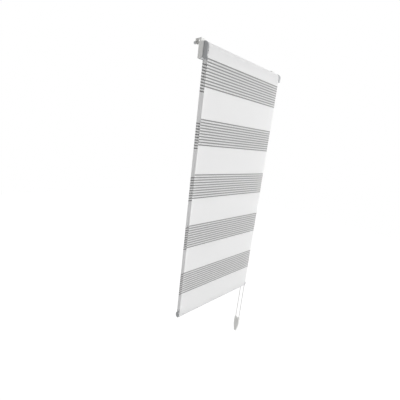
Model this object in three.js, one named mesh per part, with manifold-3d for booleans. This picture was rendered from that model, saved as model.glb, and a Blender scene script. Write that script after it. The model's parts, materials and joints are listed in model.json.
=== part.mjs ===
// A double roller blind that clamps onto the top edge of a window sash.
// Units are millimetres. X runs across the blind from left to right, Y from the room to the
// sash, Z up. The origin is the middle of the blind's width on the sash's top edge, at its
// room-side face, so the sash fills Y > 0 and Z < 0.
import * as THREE from 'three';
import { mergeVertices } from 'three/addons/utils/BufferGeometryUtils.js';
import Module from 'manifold-3d';

const wasm = await Module();
wasm.setup();

// Clearances
const GAP = 0.3; // between pieces that touch or seat
const RUN = 0.4; // between pieces that turn past each other
const OVERRUN = 1; // how far a cutting body passes the face it cuts
const WELD = 1e-4; // between points that count as one

// Cloth
const CLOTH_WIDTH = 421.5;
const CLOTH_HANG = 948; // from the roller's axis to the cloth's lowest fold
const CLOTH_THICK = 0.4;

// Roller
const AXIS_OUT = 22.5; // the roller's axis in front of the sash's face
const AXIS_DOWN = 28; // and below the sash's top edge
const ROLL_RADIUS = 15;
const TUBE_RADIUS = 10;
const TUBE_WALL = 1;
const TUBE_OVER = 0.5; // how far the tube stands past the cloth at each end
const SPLINE_RADIUS = 0.8;
const SPLINE_WALL = 0.7;
const SPLINE_LIP = 0.5; // of the tube over the spline
const SPLINE_SLOT = 1.2;

// Plugs in the tube's ends
const PLUG_FLANGE = 1.5;
const PLUG_FLANGE_RADIUS = 14.4;
const PLUG_LENGTH = 30;
const PLUG_WALL = 3;
const PIN_RADIUS = 2.5;
const PIN_COLLAR = 2;
const PIN_COLLAR_RADIUS = 4.2;
const PIN_POCKET_RADIUS = 4.6;
const PIN_INSIDE = 10; // from the plug's face to the pin's collar
const PIN_TAIL = 6; // of the pin behind its collar
const PIN_TRAVEL = 5;
const IDLER_WIRE = 0.35;
const IDLER_COIL_RADIUS = 3.6;
const IDLER_TURNS = 6;
const IDLER_PLAY = 0.7; // between the idler's flange and its housing

// Chain drive
const BEAD_RADIUS = 2.25;
const BEAD_PITCH = 6;
const SPROCKET_BEADS = 10;
const SPROCKET_WIDTH = 7.6;
const SPROCKET_RIM = 2.1; // past the beads' centres
const GROOVE_RADIUS = 2.6;
const POCKET_RADIUS = 3;
const CORE_RADIUS = 2.6;
const CORE_FLANGE = 1.6;
const CORE_FLANGE_RADIUS = 11.5;
const SPIGOT_SIDE = 7;
const DOG_LENGTH = 15;
const DOG_RADIUS = 5.1;
const DOG_WALL = 0.9;
const CAVITY_RADIUS = 5.4;
const CAVITY_DEPTH = 22;
const BRAKE_WIRE = 0.4;
const BRAKE_TURNS = 5;
const BRAKE_PITCH = 1.15;
const GUARD_WALL = 2.2;
const GUARD_ROOM = 2.4; // between the chain and the guard
const GUARD_SKIRT = 16; // the guard's straight sides below the axis

// Housing round the roller's left end
const HOUSING_THICK = 3;
const SOCKET_SKIN = 0.6; // of the housing over the pin's nose
const PEG_RADIUS = 1.5;
const PEG_BACK = 9.5; // the pegs' place behind the roller's axis
const PEG_UP = 9; // and above and below it
const PEG_SKIN = 0.6; // of the cheek over a peg's tip

// Side brackets
const CHEEK_THICK = 2.5;
const CHEEK_DEPTH = 20.6;
const CHEEK_CHAMFER = 5;
const BRACKET_TOP = 11.6; // below the sash's top edge
const BRACKET_BOTTOM = 61;
const BASE_THICK = 2.6;
const BASE_WIDTH = 26;
const POST_WIDTH = 18;
const POST_THICK = 5.5;
const POST_BOTTOM = 16.5;
const BOSS_LENGTH = 8; // of the bracket's boss inside the rear rail
const ARM_DEPTH = 5; // of the arm that carries the right boss behind the chain

// Clamps over the sash's edge
const HOOK_WIDTH = 14;
const HOOK_THICK = 1.6;
const HOOK_LEG = 15;
const HOOK_LIP = 14;
const HOOK_IN = 1.2; // of the hook's leg from the sash's face
const LIP_AT = 22; // inner face of the rear lip, behind the sash's front face
const RIVET_RADIUS = 1.5;
const RIVET_DOWN = 9;
const EDGE_THICK = 16; // of the sash edge that the clamp holds
const PAD_THICK = 3.5;
const PAD_RADIUS = 5;
const PAD_SOCKET = 2;
const CLAMP_DOWN = 8; // the clamp screw's axis below the sash's top edge
const SCREW_RADIUS = 2;
const SCREW_LENGTH = 11.5;
const KNOB_RADIUS = 4.8;
const KNOB_THICK = 5;
const KNOB_RIBS = 16;
const KNOB_RIB = 0.6;

// Rear rail
const RAIL_TOP = 49.5; // below the sash's top edge
const RAIL_TALL = 10;
const RAIL_BACK = 3.4; // in front of the sash's face
const RAIL_DEPTH = 17;
const RAIL_WALL = 1.2;
const RAIL_HOLLOW = 7.6;
const RAIL_SLOT = 1.6;
const RAIL_OVER = 1; // how far the rail stands past the cloth beside the chain
const HEM_WIDTH = 5;
const HEM_TALL = 3.4;

// Bottom bar
const BAR_DEPTH = 13;
const BAR_TALL = 20;
const BAR_WALL = 1.1;
const CAP_DEPTH = 17;
const CAP_TALL = 22;
const CAP_THICK = 3;
const CAP_PLUG = 10;

// Chain loop and its weight
const WEIGHT_TOP = 1163; // below the sash's top edge
const WEIGHT_TALL = 74;
const WEIGHT_WALL = 1.6;
const WEIGHT_THICK = 12;
const WEIGHT_ROUND = 3;
const WEIGHT_TIP = 4;
const WEIGHT_BEND = 14; // from the weight's top to the centre of the chain's turn
const CONNECTOR_LENGTH = 12;
const CONNECTOR_WALL = 1;
const CONNECTOR_DOWN = 700;
const STRAND_STEP = 45; // between the rings of a straight strand

// Facet counts
const ROUND = 40;
const SMALL_ROUND = 20;
const CHAIN_SIDES = 8;
const ARC_STEPS = 12;
const ROLL_STEPS = 60;
const BEVEL_STEPS = 3;
const GROOVE_SIDES = 10;
const GROOVE_STEPS = 30;
const POCKET_SIDES = 8;
const POCKET_RINGS = 6;
const COIL_STEPS = 10;
const COIL_SIDES = 4;

// Places that follow from the sizes
const axisY = -AXIS_OUT;
const axisZ = -AXIS_DOWN;
const housingSide = CHEEK_THICK + GAP + HOUSING_THICK;
const leftSide = housingSide + IDLER_PLAY + PLUG_FLANGE + GAP + TUBE_OVER;
const driveSide = TUBE_OVER + GAP + PLUG_FLANGE + RUN + SPROCKET_WIDTH + RUN + CORE_FLANGE + GAP;
const rightSide = driveSide + CHEEK_THICK;
const halfWidth = (leftSide + CLOTH_WIDTH + rightSide) / 2;
const clothLeft = -halfWidth + leftSide;
const clothRight = clothLeft + CLOTH_WIDTH;
const tubeLeft = clothLeft - TUBE_OVER;
const tubeRight = clothRight + TUBE_OVER;
const tubeBore = TUBE_RADIUS - TUBE_WALL;
const plugRadius = tubeBore - RUN;
const sprocketLeft = tubeRight + GAP + PLUG_FLANGE + RUN;
const sprocketRight = sprocketLeft + SPROCKET_WIDTH;
const flangeLeft = sprocketRight + RUN;
const flangeRight = flangeLeft + CORE_FLANGE;
const chainX = (sprocketLeft + sprocketRight) / 2;
const chainRadius = (SPROCKET_BEADS * BEAD_PITCH) / (2 * Math.PI);
const guardInner = chainRadius + BEAD_RADIUS + GUARD_ROOM;
const guardOuter = guardInner + GUARD_WALL;
const frontInner = axisY - ROLL_RADIUS - GAP;
const frontOuter = frontInner - CLOTH_THICK;
const clothBottom = axisZ - CLOTH_HANG;
const barY = frontInner + GAP + BAR_DEPTH / 2;
const barBottom = clothBottom + CLOTH_THICK + GAP;
const barTop = barBottom + BAR_TALL;
const hemY = -RAIL_BACK - RAIL_WALL - RAIL_HOLLOW - RAIL_WALL - (HEM_WIDTH + 2 * RUN) / 2;
const railBottom = -RAIL_TOP - RAIL_TALL;
const railLeft = -halfWidth + CHEEK_THICK + GAP;
const railRight = clothRight + RAIL_OVER;
const hemBottom = -RAIL_TOP - RAIL_WALL - RUN - HEM_TALL;

const blind = new THREE.Group();

// Materials
function moulded(color, roughness) {
  return new THREE.MeshStandardMaterial({ color, roughness, metalness: 0 });
}

function metal(color, roughness) {
  return new THREE.MeshStandardMaterial({ color, roughness, metalness: 1 });
}

const whitePlastic = () => moulded(0xeeeeec, 0.45);
const greyPlastic = () => moulded(0xaeb0b2, 0.5);
const whiteCloth = () => moulded(0xe8e8e8, 0.9);
const softRubber = () => moulded(0xb9b9b7, 0.85);
const chainPlastic = () => moulded(0xf4f4f2, 0.35);
const clearPlastic = () => moulded(0xdfe6e8, 0.15);
const aluminium = () => metal(0xc9cccf, 0.35);
const steel = () => metal(0x8f9296, 0.35);
const whiteSteel = () => moulded(0xe6e6e4, 0.35);
const springSteel = () => metal(0x77797c, 0.3);

function place(name, geometry, material) {
  const mesh = new THREE.Mesh(geometry, material);
  mesh.name = name;
  blind.add(mesh);
}

// Closed geometry and solids
function solid(geometry) {
  const bare = geometry.clone();
  bare.deleteAttribute('normal');
  bare.deleteAttribute('uv');
  const merged = mergeVertices(bare, WELD);
  const vertProperties = new Float32Array(merged.attributes.position.array);
  const triVerts = new Uint32Array(merged.index.array);
  return new wasm.Manifold(new wasm.Mesh({ numProp: 3, vertProperties, triVerts }));
}

function geometryOf(body) {
  const mesh = body.getMesh();
  const geometry = new THREE.BufferGeometry();
  geometry.setAttribute('position', new THREE.BufferAttribute(mesh.vertProperties, 3));
  geometry.setIndex(new THREE.BufferAttribute(mesh.triVerts, 1));
  geometry.computeVertexNormals();
  return geometry;
}

function cut(base, tools) {
  return geometryOf(tools.reduce((body, tool) => body.subtract(solid(tool)), solid(base)));
}

function join(pieces) {
  const [first, ...rest] = pieces.map(solid);
  return geometryOf(rest.reduce((body, piece) => body.add(piece), first));
}

// Box between two corners
function box([x0, y0, z0], [x1, y1, z1]) {
  const geometry = new THREE.BoxGeometry(x1 - x0, y1 - y0, z1 - z0);
  geometry.translate((x0 + x1) / 2, (y0 + y1) / 2, (z0 + z1) / 2);
  return geometry;
}

// Outline in the YZ plane, drawn out along X
function alongX(outline, x0, x1, curveSegments = ROUND / 4) {
  const geometry = new THREE.ExtrudeGeometry(outline, {
    depth: x1 - x0,
    bevelEnabled: false,
    curveSegments,
  });
  const turn = new THREE.Matrix4();
  turn.makeBasis(
    new THREE.Vector3(0, 1, 0),
    new THREE.Vector3(0, 0, 1),
    new THREE.Vector3(1, 0, 0),
  );
  geometry.applyMatrix4(turn);
  geometry.translate(x0, 0, 0);
  return geometry;
}

// Profile of [place along X, radius] points, turned about a line parallel to X
function turnedX(profile, y, z, segments = ROUND) {
  const points = profile.map(([along, radius]) => new THREE.Vector2(radius, along));
  const geometry = new THREE.LatheGeometry(points, segments);
  geometry.rotateZ(-Math.PI / 2);
  geometry.translate(0, y, z);
  return geometry;
}

// Profile of [place along Y, radius] points, turned about a line parallel to Y
function turnedY(profile, x, z, segments = SMALL_ROUND) {
  const points = profile.map(([along, radius]) => new THREE.Vector2(radius, along));
  const geometry = new THREE.LatheGeometry(points, segments);
  geometry.translate(x, 0, z);
  return geometry;
}

// Rod and ring profiles between two places along the axis
function rod(from, to, radius) {
  return [
    [from, 0],
    [from, radius],
    [to, radius],
    [to, 0],
  ];
}

function ring(from, to, inner, outer) {
  return [
    [from, inner],
    [from, outer],
    [to, outer],
    [to, inner],
    [from, inner],
  ];
}

function polygon(points) {
  return new THREE.Shape(points.map(([a, b]) => new THREE.Vector2(a, b)));
}

// Upright rounded outline, as a flat bar or its cap has in section
function roundEnded(y, bottom, top, depth) {
  const radius = depth / 2;
  const shape = new THREE.Shape();
  shape.moveTo(y - radius, top - radius);
  shape.lineTo(y - radius, bottom + radius);
  shape.absarc(y, bottom + radius, radius, Math.PI, 2 * Math.PI, false);
  shape.lineTo(y + radius, top - radius);
  shape.absarc(y, top - radius, radius, 0, Math.PI, false);
  return shape;
}

// Round tube along a curve
function tubeAlong(curve, radius, steps, sides) {
  const section = new THREE.Shape();
  for (let i = 0; i < sides; i += 1) {
    const angle = (2 * Math.PI * i) / sides;
    const point = [radius * Math.cos(angle), radius * Math.sin(angle)];
    if (i === 0) section.moveTo(...point);
    else section.lineTo(...point);
  }
  section.closePath();
  return new THREE.ExtrudeGeometry(section, { steps, extrudePath: curve, bevelEnabled: false });
}

class CoilX extends THREE.Curve {
  constructor(start, length, radius, turns) {
    super();
    Object.assign(this, { start, length, radius, turns });
  }

  getPoint(share) {
    const angle = 2 * Math.PI * this.turns * share;
    return new THREE.Vector3(
      this.start + this.length * share,
      axisY + this.radius * Math.cos(angle),
      axisZ + this.radius * Math.sin(angle),
    );
  }
}

class ArcYZ extends THREE.Curve {
  constructor(centreZ, fromAngle, toAngle) {
    super();
    Object.assign(this, { centreZ, fromAngle, toAngle });
  }

  getPoint(share) {
    const angle = this.fromAngle + (this.toAngle - this.fromAngle) * share;
    return new THREE.Vector3(
      chainX,
      axisY + chainRadius * Math.cos(angle),
      this.centreZ + chainRadius * Math.sin(angle),
    );
  }
}

// Side bracket: base plate on the sash, cheek, post for the hook and boss for the rear rail.
// side is -1 on the left and 1 on the right.
function sideBracket(side) {
  const outer = side * halfWidth;
  const inner = outer - side * CHEEK_THICK;
  const [cheekLow, cheekHigh] = [outer, inner].sort((a, b) => a - b);
  const [baseLow, baseHigh] = [outer, outer - side * BASE_WIDTH].sort((a, b) => a - b);
  const railEnd = side < 0 ? railLeft : railRight;
  const [bossLow, bossHigh] = [railEnd, railEnd - side * BOSS_LENGTH].sort((a, b) => a - b);
  const [armLow, armHigh] = [outer, railEnd - side * BOSS_LENGTH].sort((a, b) => a - b);
  const postX = hookX(side);

  const outline = new THREE.Shape();
  outline.moveTo(0, -BRACKET_TOP);
  outline.lineTo(-CHEEK_DEPTH, -BRACKET_TOP);
  if (side > 0) drawNose(outline);
  outline.lineTo(-CHEEK_DEPTH, -BRACKET_BOTTOM + CHEEK_CHAMFER);
  outline.lineTo(-CHEEK_DEPTH + CHEEK_CHAMFER, -BRACKET_BOTTOM);
  outline.lineTo(0, -BRACKET_BOTTOM);
  outline.closePath();

  const bossSide = RAIL_HOLLOW - 2 * GAP;
  const bossBack = -RAIL_BACK - RAIL_WALL - GAP;
  const bossTop = -RAIL_TOP - RAIL_WALL - GAP;
  const body = join([
    alongX(outline, cheekLow, cheekHigh),
    box([baseLow, -BASE_THICK, -BRACKET_BOTTOM], [baseHigh, 0, -BRACKET_TOP]),
    box(
      [postX - POST_WIDTH / 2, -POST_THICK, -POST_BOTTOM],
      [postX + POST_WIDTH / 2, 0, -GAP],
    ),
    box(
      [bossLow, bossBack - bossSide, bossTop - bossSide],
      [bossHigh, bossBack, bossTop],
    ),
    box(
      [armLow, bossBack - ARM_DEPTH, bossTop - bossSide],
      [armHigh, bossBack, bossTop],
    ),
  ]);

  const slotHalf = HOOK_WIDTH / 2 + GAP;
  const slot = box(
    [postX - slotHalf, -HOOK_IN - HOOK_THICK - GAP, -HOOK_LEG - GAP],
    [postX + slotHalf, -HOOK_IN + GAP, OVERRUN],
  );
  const rivetHole = turnedY(
    rod(-POST_THICK - OVERRUN, OVERRUN, RIVET_RADIUS + GAP),
    postX,
    -RIVET_DOWN,
  );
  return cut(body, [slot, rivetHole, ...cheekHoles(side)]);
}

// The right cheek's round nose in front of its straight edge, as large as the chain guard
function drawNose(outline) {
  const reach = Math.acos((AXIS_OUT - CHEEK_DEPTH) / guardOuter);
  outline.lineTo(-CHEEK_DEPTH, axisZ + guardOuter * Math.sin(reach));
  outline.absarc(axisY, axisZ, guardOuter, reach, 2 * Math.PI - reach, false);
}

// Blind holes for the housing's pegs on the left, the drive core's square hole on the right
function cheekHoles(side) {
  if (side < 0) {
    const inner = -halfWidth + CHEEK_THICK;
    return pegs(-halfWidth + PEG_SKIN, inner + OVERRUN, PEG_RADIUS + GAP);
  }
  const half = SPIGOT_SIDE / 2 + GAP;
  return [
    box(
      [halfWidth - CHEEK_THICK - OVERRUN, axisY - half, axisZ - half],
      [halfWidth + OVERRUN, axisY + half, axisZ + half],
    ),
  ];
}

function pegs(from, to, radius) {
  return [PEG_UP, -PEG_UP].map((up) =>
    turnedX(rod(from, to, radius), axisY + PEG_BACK, axisZ + up, SMALL_ROUND / 2),
  );
}

// Housing round the roller's left end: a disc with a leg that closes the side down to the
// bracket's foot, a blind socket for the sprung pin, and two pegs in the cheek
function idlerHousing() {
  const outer = -halfWidth + CHEEK_THICK + GAP;
  const inner = outer + HOUSING_THICK;
  const legBack = -RAIL_BACK - RAIL_DEPTH - GAP;
  const legReach = Math.acos((legBack - axisY) / guardOuter);
  const outline = new THREE.Shape();
  outline.moveTo(axisY - guardOuter, -BRACKET_BOTTOM);
  outline.lineTo(legBack, -BRACKET_BOTTOM);
  outline.lineTo(legBack, axisZ - guardOuter * Math.sin(legReach));
  outline.absarc(axisY, axisZ, guardOuter, -legReach, Math.PI, false);
  outline.closePath();
  const socket = turnedX(
    rod(outer + SOCKET_SKIN, inner + OVERRUN, PIN_RADIUS + GAP),
    axisY,
    axisZ,
    SMALL_ROUND,
  );
  const held = pegs(-halfWidth + PEG_SKIN + GAP, outer + OVERRUN, PEG_RADIUS);
  return join([cut(alongX(outline, outer, inner), [socket]), ...held]);
}

function hookX(side) {
  return side * (halfWidth - BASE_WIDTH / 2);
}

// Steel hook over the sash's top edge: leg, top and rear lip bent from one strip
function clampHook(side) {
  const x = hookX(side);
  const legFront = -HOOK_IN - HOOK_THICK;
  const lipBack = LIP_AT + HOOK_THICK;
  const outline = polygon([
    [legFront, -HOOK_LEG],
    [-HOOK_IN, -HOOK_LEG],
    [-HOOK_IN, 0],
    [LIP_AT, 0],
    [LIP_AT, -HOOK_LIP],
    [lipBack, -HOOK_LIP],
    [lipBack, HOOK_THICK],
    [legFront, HOOK_THICK],
  ]);
  const strip = alongX(outline, x - HOOK_WIDTH / 2, x + HOOK_WIDTH / 2);
  const rivetHole = turnedY(
    rod(legFront - OVERRUN, -HOOK_IN + OVERRUN, RIVET_RADIUS + GAP),
    x,
    -RIVET_DOWN,
  );
  const screwHole = turnedY(
    rod(LIP_AT - OVERRUN, lipBack + OVERRUN, SCREW_RADIUS + GAP),
    x,
    -CLAMP_DOWN,
  );
  return cut(strip, [rivetHole, screwHole]);
}

function hookRivet(side) {
  return turnedY(rod(-POST_THICK + GAP, -GAP, RIVET_RADIUS), hookX(side), -RIVET_DOWN);
}

// Soft pad on the clamp screw's tip, with the socket that the tip turns in
function clampPad(side) {
  const back = EDGE_THICK + PAD_THICK;
  const profile = [
    [EDGE_THICK, 0],
    [EDGE_THICK, PAD_RADIUS],
    [back, PAD_RADIUS],
    [back, SCREW_RADIUS + GAP],
    [back - PAD_SOCKET, SCREW_RADIUS + GAP],
    [back - PAD_SOCKET, 0],
  ];
  return turnedY(profile, hookX(side), -CLAMP_DOWN);
}

// Thumbscrew through the rear lip, with a ribbed knob
function clampScrew(side) {
  const tip = EDGE_THICK + PAD_THICK - PAD_SOCKET + GAP;
  const knobFront = tip + SCREW_LENGTH;
  const shank = turnedY(rod(tip, knobFront + OVERRUN, SCREW_RADIUS), hookX(side), -CLAMP_DOWN);
  const ribbed = new THREE.Shape();
  for (let i = 0; i < 2 * KNOB_RIBS; i += 1) {
    const angle = (Math.PI * i) / KNOB_RIBS;
    const radius = i % 2 === 0 ? KNOB_RADIUS : KNOB_RADIUS - KNOB_RIB;
    const point = [radius * Math.cos(angle), radius * Math.sin(angle)];
    if (i === 0) ribbed.moveTo(...point);
    else ribbed.lineTo(...point);
  }
  ribbed.closePath();
  const knob = new THREE.ExtrudeGeometry(ribbed, { depth: KNOB_THICK, bevelEnabled: false });
  knob.rotateX(-Math.PI / 2);
  knob.translate(hookX(side), knobFront, -CLAMP_DOWN);
  return join([shank, knob]);
}

// Aluminium tube with an inner channel that holds the cloth's spline
function rollerTube() {
  const channelRadius = SPLINE_RADIUS + GAP + SPLINE_WALL;
  const shell = cut(turnedX(rod(tubeLeft, tubeRight, TUBE_RADIUS), axisY, axisZ), [
    turnedX(rod(tubeLeft - OVERRUN, tubeRight + OVERRUN, tubeBore), axisY, axisZ),
  ]);
  const channel = turnedX(rod(tubeLeft, tubeRight, channelRadius), axisY, splineZ(), SMALL_ROUND);
  const bore = turnedX(
    rod(tubeLeft - OVERRUN, tubeRight + OVERRUN, SPLINE_RADIUS + GAP),
    axisY,
    splineZ(),
    SMALL_ROUND,
  );
  const slot = box(
    [tubeLeft - OVERRUN, axisY - SPLINE_SLOT / 2, splineZ()],
    [tubeRight + OVERRUN, axisY + SPLINE_SLOT / 2, axisZ + TUBE_RADIUS + OVERRUN],
  );
  return cut(join([shell, channel]), [bore, slot]);
}

function splineZ() {
  return axisZ + TUBE_RADIUS - SPLINE_LIP - GAP - SPLINE_RADIUS;
}

function fabricSpline() {
  return turnedX(rod(clothLeft, clothRight, SPLINE_RADIUS), axisY, splineZ(), SMALL_ROUND / 2);
}

// Notch that lets a plug pass the tube's spline channel
function channelNotch(from, to) {
  const radius = SPLINE_RADIUS + GAP + SPLINE_WALL + RUN;
  return turnedX(rod(from, to, radius), axisY, splineZ(), SMALL_ROUND);
}

// Wound cloth: many turns lie tight on the tube, and the outer turn ends in a small step
function fabricRoll() {
  const outline = new THREE.Shape();
  for (let i = 0; i < ROLL_STEPS; i += 1) {
    const share = i / (ROLL_STEPS - 1);
    const angle = Math.PI + 2 * Math.PI * share;
    const radius = ROLL_RADIUS - CLOTH_THICK * share;
    const point = [axisY + radius * Math.cos(angle), axisZ + radius * Math.sin(angle)];
    if (i === 0) outline.moveTo(...point);
    else outline.lineTo(...point);
  }
  outline.closePath();
  const bore = new THREE.Path();
  bore.absarc(axisY, axisZ, TUBE_RADIUS + GAP, 0, 2 * Math.PI, true);
  outline.holes.push(bore);
  return alongX(outline, clothLeft, clothRight, ROUND);
}

// Left end plug with the pocket for the sprung pin
function idlerPlug() {
  const flangeOuter = tubeLeft - GAP - PLUG_FLANGE;
  const flangeInner = tubeLeft - GAP;
  const end = flangeOuter + PLUG_LENGTH;
  const body = turnedX(
    [
      [flangeOuter, 0],
      [flangeOuter, PLUG_FLANGE_RADIUS],
      [flangeInner, PLUG_FLANGE_RADIUS],
      [flangeInner, plugRadius],
      [end, plugRadius],
      [end, 0],
    ],
    axisY,
    axisZ,
  );
  const mouth = turnedX(
    rod(flangeOuter - OVERRUN, flangeOuter + PLUG_WALL + OVERRUN, PIN_RADIUS + GAP),
    axisY,
    axisZ,
    SMALL_ROUND,
  );
  const pocket = turnedX(
    rod(flangeOuter + PLUG_WALL, end - PLUG_WALL, PIN_POCKET_RADIUS),
    axisY,
    axisZ,
    SMALL_ROUND,
  );
  return cut(body, [mouth, pocket, channelNotch(flangeInner, end + OVERRUN)]);
}

function collarAt() {
  return tubeLeft - GAP - PLUG_FLANGE + PIN_INSIDE;
}

// Sprung axle pin: its nose stands in the left housing's socket
function idlerPin() {
  const collar = collarAt();
  const nose = -halfWidth + CHEEK_THICK + GAP + SOCKET_SKIN + GAP;
  return turnedX(
    [
      [nose, 0],
      [nose, PIN_RADIUS],
      [collar, PIN_RADIUS],
      [collar, PIN_COLLAR_RADIUS],
      [collar + PIN_COLLAR, PIN_COLLAR_RADIUS],
      [collar + PIN_COLLAR, PIN_RADIUS],
      [collar + PIN_COLLAR + PIN_TAIL, PIN_RADIUS],
      [collar + PIN_COLLAR + PIN_TAIL, 0],
    ],
    axisY,
    axisZ,
    SMALL_ROUND,
  );
}

function idlerSpringSpan() {
  const from = collarAt() + PIN_COLLAR + GAP + IDLER_WIRE;
  const to = tubeLeft - GAP - PLUG_FLANGE + PLUG_LENGTH - PLUG_WALL - GAP - IDLER_WIRE;
  return [from, to];
}

function idlerSpring() {
  const [from, to] = idlerSpringSpan();
  const coil = new CoilX(from, to - from, IDLER_COIL_RADIUS, IDLER_TURNS);
  return tubeAlong(coil, IDLER_WIRE, IDLER_TURNS * COIL_STEPS, COIL_SIDES);
}

// Fixed core of the chain drive: shaft, flange and the square spigot in the right cheek
function driveCore() {
  const shaftEnd = tubeRight - PLUG_LENGTH;
  const round = turnedX(
    [
      [shaftEnd, 0],
      [shaftEnd, CORE_RADIUS],
      [flangeLeft, CORE_RADIUS],
      [flangeLeft, CORE_FLANGE_RADIUS],
      [flangeRight, CORE_FLANGE_RADIUS],
      [flangeRight, 0],
    ],
    axisY,
    axisZ,
  );
  const half = SPIGOT_SIDE / 2;
  const spigot = box(
    [flangeLeft, axisY - half, axisZ - half],
    [halfWidth, axisY + half, axisZ + half],
  );
  return join([round, spigot]);
}

// Chain wheel with its bead pockets and the open sleeve that drives the tube adapter
function sprocket() {
  const bore = CORE_RADIUS + RUN;
  const outer = chainRadius + SPROCKET_RIM;
  const wheel = turnedX(ring(sprocketLeft, sprocketRight, bore, outer), axisY, axisZ);
  const groove = new THREE.TorusGeometry(
    chainRadius,
    GROOVE_RADIUS,
    GROOVE_SIDES,
    GROOVE_STEPS,
  );
  groove.rotateY(Math.PI / 2);
  groove.translate(chainX, axisY, axisZ);
  const rimCut = turnedX(
    ring(
      chainX - GROOVE_RADIUS,
      chainX + GROOVE_RADIUS,
      chainRadius,
      outer + OVERRUN,
    ),
    axisY,
    axisZ,
  );
  const pockets = [];
  for (let i = 0; i < SPROCKET_BEADS; i += 1) {
    const angle = (2 * Math.PI * i) / SPROCKET_BEADS;
    const pocket = new THREE.SphereGeometry(POCKET_RADIUS, POCKET_SIDES, POCKET_RINGS);
    pocket.translate(
      chainX,
      axisY + chainRadius * Math.cos(angle),
      axisZ + chainRadius * Math.sin(angle),
    );
    pockets.push(pocket);
  }
  const sleeve = turnedX(
    ring(sprocketLeft - DOG_LENGTH, sprocketLeft + OVERRUN, DOG_RADIUS - DOG_WALL, DOG_RADIUS),
    axisY,
    axisZ,
  );
  const opening = box(
    [sprocketLeft - DOG_LENGTH - OVERRUN, axisY - DOG_RADIUS / 2, axisZ - DOG_RADIUS - OVERRUN],
    [sprocketLeft, axisY + DOG_RADIUS / 2, axisZ],
  );
  const openSleeve = cut(sleeve, [opening]);
  return join([cut(wheel, [groove, rimCut, ...pockets]), openSleeve]);
}

// Right end plug: turns with the tube and takes the sprocket's drive through its inner rib
function tubeAdapter() {
  const flangeInner = tubeRight + GAP;
  const flangeOuter = flangeInner + PLUG_FLANGE;
  const end = flangeOuter - PLUG_LENGTH;
  const body = turnedX(
    [
      [end, CORE_RADIUS + RUN],
      [end, plugRadius],
      [flangeInner, plugRadius],
      [flangeInner, PLUG_FLANGE_RADIUS],
      [flangeOuter, PLUG_FLANGE_RADIUS],
      [flangeOuter, CAVITY_RADIUS],
      [flangeOuter - CAVITY_DEPTH, CAVITY_RADIUS],
      [flangeOuter - CAVITY_DEPTH, CORE_RADIUS + RUN],
      [end, CORE_RADIUS + RUN],
    ],
    axisY,
    axisZ,
  );
  const ribHalf = DOG_RADIUS / 2 - RUN;
  const rib = cut(
    box(
      [flangeOuter - CAVITY_DEPTH, axisY - ribHalf, axisZ - CAVITY_RADIUS],
      [flangeOuter - GAP, axisY + ribHalf, axisZ],
    ),
    [
      turnedX(
        rod(
          flangeOuter - CAVITY_DEPTH - OVERRUN,
          flangeOuter + OVERRUN,
          DOG_RADIUS - DOG_WALL,
        ),
        axisY,
        axisZ,
      ),
    ],
  );
  return cut(join([body, rib]), [channelNotch(end - OVERRUN, flangeInner)]);
}

// Two wrap springs that grip the core and hold the blind where it is left
function brakeSpring(index) {
  const length = BRAKE_TURNS * BRAKE_PITCH;
  const inset = 2 * BRAKE_WIRE + RUN;
  const start = sprocketLeft - DOG_LENGTH + inset + index * (length + inset);
  const coil = new CoilX(start, length, CORE_RADIUS + RUN + BRAKE_WIRE, BRAKE_TURNS);
  return tubeAlong(coil, BRAKE_WIRE, BRAKE_TURNS * COIL_STEPS, COIL_SIDES);
}

// Housing over the sprocket: round above, straight sides below, open where the chain leaves
function chainGuard() {
  const bottom = axisZ - GUARD_SKIRT;
  const outline = new THREE.Shape();
  outline.moveTo(axisY - guardOuter, bottom);
  outline.lineTo(axisY - guardInner, bottom);
  outline.lineTo(axisY - guardInner, axisZ);
  outline.absarc(axisY, axisZ, guardInner, Math.PI, 0, true);
  outline.lineTo(axisY + guardInner, bottom);
  outline.lineTo(axisY + guardOuter, bottom);
  outline.lineTo(axisY + guardOuter, axisZ);
  outline.absarc(axisY, axisZ, guardOuter, 0, Math.PI, false);
  outline.closePath();
  return alongX(outline, sprocketLeft, flangeRight);
}

// Rear rail: hollow box behind, groove in front for the back layer's hem
function backRail() {
  const top = -RAIL_TOP;
  const body = box(
    [railLeft, -RAIL_BACK - RAIL_DEPTH, railBottom],
    [railRight, -RAIL_BACK, top],
  );
  const cutFrom = railLeft - OVERRUN;
  const cutTo = railRight + OVERRUN;
  const hollowBack = -RAIL_BACK - RAIL_WALL;
  const hollow = box(
    [cutFrom, hollowBack - RAIL_HOLLOW, railBottom + RAIL_WALL],
    [cutTo, hollowBack, top - RAIL_WALL],
  );
  const grooveHalf = HEM_WIDTH / 2 + RUN;
  const groove = box(
    [cutFrom, hemY - grooveHalf, railBottom + RAIL_WALL],
    [cutTo, hemY + grooveHalf, top - RAIL_WALL],
  );
  const slot = box(
    [cutFrom, hemY - RAIL_SLOT / 2, railBottom - OVERRUN],
    [cutTo, hemY + RAIL_SLOT / 2, railBottom + RAIL_WALL + OVERRUN],
  );
  return cut(body, [hollow, groove, slot]);
}

function hemStrip() {
  return box(
    [clothLeft, hemY - HEM_WIDTH / 2, hemBottom],
    [clothRight, hemY + HEM_WIDTH / 2, hemBottom + HEM_TALL],
  );
}

// Hanging layers: the front one from the roll, the back one from the rear rail
function frontSheet() {
  return box([clothLeft, frontOuter, loopTop() + GAP], [clothRight, frontInner, axisZ]);
}

function loopTop() {
  return barTop - BAR_DEPTH / 2;
}

function loopBackY() {
  return barY + BAR_DEPTH / 2 + GAP + CLOTH_THICK / 2;
}

function backSheet() {
  const half = CLOTH_THICK / 2;
  const top = hemBottom - GAP;
  const bottom = loopTop() + GAP;
  const outline = polygon([
    [hemY - half, top],
    [loopBackY() - half, bottom],
    [loopBackY() + half, bottom],
    [hemY + half, top],
  ]);
  return alongX(outline, clothLeft, clothRight);
}

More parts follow.
